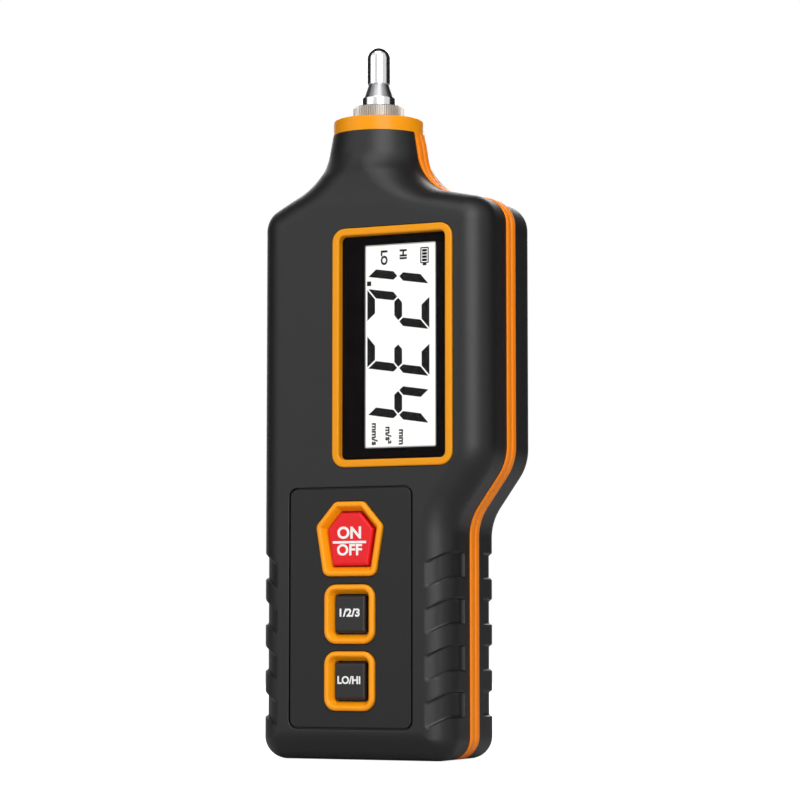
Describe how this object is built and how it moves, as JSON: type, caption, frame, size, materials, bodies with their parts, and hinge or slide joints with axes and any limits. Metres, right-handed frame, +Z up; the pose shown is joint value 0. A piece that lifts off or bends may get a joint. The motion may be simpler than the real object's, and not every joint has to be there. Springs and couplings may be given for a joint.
{
  "type": "handheld vibration meter",
  "caption": "Upright handheld vibration meter with a contact probe on its neck, a segment display, press keys and a sliding battery door.",
  "frame": {"origin": "on the flat bottom face, where the axis of the neck and probe meets it, in the plane of the seam between the two shells", "axes": "+Z up along the probe axis, +Y towards the rear face with the battery door, +X towards the side where the display bulges out"},
  "size_m": [0.0694, 0.0352, 0.1977],
  "materials": {
    "backlight": "satin",
    "battery_case": "satin",
    "bezel": "satin",
    "board": "satin",
    "brass": "satin",
    "can_metal": "satin",
    "chip": "matte",
    "conductive_rubber": "matte",
    "foam": "matte",
    "grey_key": "satin",
    "housing": "satin",
    "housing_panel": "satin",
    "lcd": "satin",
    "lead_sheath": "satin",
    "nut_metal": "knurled",
    "piezo": "matte",
    "probe_chrome": "polished",
    "red_key": "satin",
    "screw_steel": "plated",
    "sensor_steel": "turned",
    "surround": "satin",
    "switch_plastic": "satin",
    "trim": "satin",
    "white_plastic": "satin",
    "window": "clear",
    "window_print": "gloss"
  },
  "bodies": {
    "housing": {"front_shell": "housing", "rear_shell": "housing", "key_panel": "housing_panel", "front_band": "trim", "rear_band": "trim", "display_bezel": "bezel", "measure_surround": "surround", "mode_surround": "surround", "range_surround": "surround", "display_window": "window", "window_mask": "window_print", "lcd_glass": "lcd", "lcd_backlight": "backlight", "lcd_holder": "white_plastic", "zebra_strips": "conductive_rubber", "key_switches": "switch_plastic", "main_board": "board", "processor_chip": "chip", "amplifier_chips": "chip", "crystal": "can_metal", "capacitors": "chip", "sensor_socket": "white_plastic", "board_screws": "screw_steel", "case_screws": "screw_steel", "battery": "battery_case", "battery_snap": "switch_plastic", "battery_leads": "lead_sheath", "battery_pad": "foam", "sensor_base": "sensor_steel", "sensor_case": "sensor_steel", "insulating_washer": "white_plastic", "piezo_discs": "piezo", "electrode_ring": "brass", "seismic_mass": "sensor_steel", "preload_bolt": "screw_steel", "isolation_rings": "conductive_rubber", "sensor_lead": "lead_sheath"},
    "measure_key": {"measure_key": "red_key", "measure_plunger": "switch_plastic"},
    "mode_key": {"mode_key": "grey_key", "mode_plunger": "switch_plastic"},
    "range_key": {"range_key": "grey_key", "range_plunger": "switch_plastic"},
    "battery_door": {"battery_door": "housing"},
    "probe": {"probe_tip": "probe_chrome", "probe_retainer": "sensor_steel"},
    "nut": {"knurled_nut": "nut_metal"}
  },
  "joints": [
    {"name": "measure_press", "type": "slide", "parent": "housing", "child": "measure_key", "axis": [0, 1, 0], "range_m": [0, 0.0005], "stiffness_N_per_m": 900},
    {"name": "mode_press", "type": "slide", "parent": "housing", "child": "mode_key", "axis": [0, 1, 0], "range_m": [0, 0.0005], "stiffness_N_per_m": 900},
    {"name": "range_press", "type": "slide", "parent": "housing", "child": "range_key", "axis": [0, 1, 0], "range_m": [0, 0.0005], "stiffness_N_per_m": 900},
    {"name": "battery_door_slide", "type": "slide", "parent": "housing", "child": "battery_door", "axis": [0, 0, -1], "range_m": [0, 0.062]},
    {"name": "probe_lift", "type": "slide", "parent": "housing", "child": "probe", "axis": [0, 0, 1], "range_m": [0, 0.003]},
    {"name": "nut_turn", "type": "hinge", "parent": "probe", "child": "nut", "pos_m": [0, 0, 0.1786], "axis": [0, 0, 1], "range_deg": [0, 1080]}
  ],
  "couplings": [
    {"joint": "nut_turn", "follows": "probe_lift", "rad_per_m": 6283.2}
  ]
}
